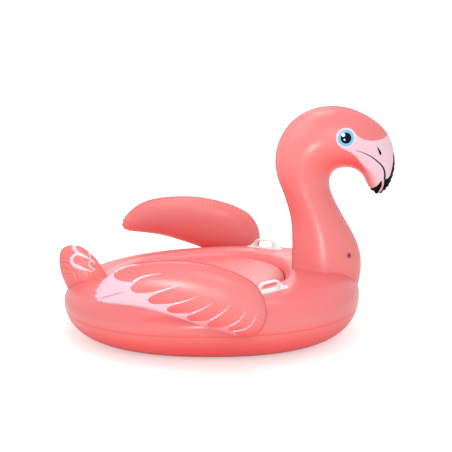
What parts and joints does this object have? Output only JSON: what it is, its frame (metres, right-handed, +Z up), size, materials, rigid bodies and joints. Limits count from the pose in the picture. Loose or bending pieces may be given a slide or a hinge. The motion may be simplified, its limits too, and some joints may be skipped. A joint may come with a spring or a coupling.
{
  "type": "inflatable pool float",
  "caption": "Inflatable flamingo ride-on pool float with an oval hull, recessed seat, upright neck and head, side wings, tail fin and two grab handles.",
  "frame": {"origin": "middle of the flat underside of the hull, on the surface that the float rests on", "axes": "+X forward to the head, +Y to the bird's left wing, +Z up"},
  "size_m": [1.4264, 1.3044, 0.9688],
  "materials": {
    "coral_vinyl": "soft satin-gloss inflated vinyl with pale pink printing",
    "web_vinyl": "plain unprinted vinyl",
    "white_handle": "satin moulded soft plastic",
    "clear_valve": "translucent moulded soft plastic",
    "purple_plug": "glossy moulded soft plastic"
  },
  "bodies": {
    "hull": {"hull_bottom_panel": "coral_vinyl", "hull_top_panel": "coral_vinyl", "seat_panel": "coral_vinyl", "tie_web_outer_left": "web_vinyl", "tie_web_inner_left": "web_vinyl", "tie_web_inner_right": "web_vinyl", "tie_web_outer_right": "web_vinyl", "neck_root_collar": "coral_vinyl", "tail_root_collar": "coral_vinyl", "wing_left_root_strip": "coral_vinyl", "wing_right_root_strip": "coral_vinyl", "handle_left": "white_handle", "handle_right": "white_handle", "hull_valve_cup": "clear_valve"},
    "neck": {"neck_left_panel": "coral_vinyl", "neck_right_panel": "coral_vinyl", "neck_base_diaphragm": "web_vinyl", "neck_valve_cup": "clear_valve"},
    "wing_left": {"wing_left_outer_panel": "coral_vinyl", "wing_left_inner_panel": "coral_vinyl"},
    "wing_right": {"wing_right_outer_panel": "coral_vinyl", "wing_right_inner_panel": "coral_vinyl"},
    "tail": {"tail_left_panel": "coral_vinyl", "tail_right_panel": "coral_vinyl"},
    "neck_valve_stem": {"neck_valve_stem": "clear_valve", "neck_valve_strap": "clear_valve"},
    "neck_valve_plug": {"neck_valve_plug": "purple_plug"},
    "neck_valve_flap": {"neck_valve_flap": "clear_valve"},
    "hull_valve_stem": {"hull_valve_stem": "clear_valve", "hull_valve_strap": "clear_valve"},
    "hull_valve_plug": {"hull_valve_plug": "purple_plug"},
    "hull_valve_flap": {"hull_valve_flap": "clear_valve"}
  },
  "joints": [
    {"name": "neck_lean", "type": "hinge", "parent": "hull", "child": "neck", "pos_m": [0.494, 0, 0.3], "axis": [0, 1, 0], "range_deg": [-5, 5], "stiffness_Nm_per_rad": 60},
    {"name": "wing_left_flap", "type": "hinge", "parent": "hull", "child": "wing_left", "pos_m": [0.065, 0.578, 0.168], "axis": [-1, 0, 0], "range_deg": [-10, 35], "stiffness_Nm_per_rad": 6},
    {"name": "wing_right_flap", "type": "hinge", "parent": "hull", "child": "wing_right", "pos_m": [0.065, -0.578, 0.168], "axis": [1, 0, 0], "range_deg": [-10, 35], "stiffness_Nm_per_rad": 6},
    {"name": "tail_sway", "type": "hinge", "parent": "hull", "child": "tail", "pos_m": [-0.56, 0, 0.228], "axis": [0.91, 0, 0.4147], "range_deg": [-12, 12], "stiffness_Nm_per_rad": 1.5},
    {"name": "neck_valve_stem_push", "type": "slide", "parent": "neck", "child": "neck_valve_stem", "axis": [0.5956, -0.779, 0.1959], "range_m": [0, 0.01]},
    {"name": "neck_valve_plug_pull", "type": "slide", "parent": "neck_valve_stem", "child": "neck_valve_plug", "axis": [0.5956, -0.779, 0.1959], "range_m": [0, 0.012]},
    {"name": "neck_valve_flap_swing", "type": "hinge", "parent": "neck_valve_stem", "child": "neck_valve_flap", "pos_m": [0.57508, -0.07082, 0.34709], "axis": [0.7944, 0.6074, 0], "range_deg": [0, 35], "stiffness_Nm_per_rad": 0.0005},
    {"name": "hull_valve_stem_push", "type": "slide", "parent": "hull", "child": "hull_valve_stem", "axis": [-0.5633, 0.6883, 0.4571], "range_m": [0, 0.01]},
    {"name": "hull_valve_plug_pull", "type": "slide", "parent": "hull_valve_stem", "child": "hull_valve_plug", "axis": [-0.5633, 0.6883, 0.4571], "range_m": [0, 0.012]},
    {"name": "hull_valve_flap_swing", "type": "hinge", "parent": "hull_valve_stem", "child": "hull_valve_flap", "pos_m": [-0.44589, 0.40855, 0.16718], "axis": [-0.7738, -0.6334, 0], "range_deg": [0, 35], "stiffness_Nm_per_rad": 0.0005}
  ]
}
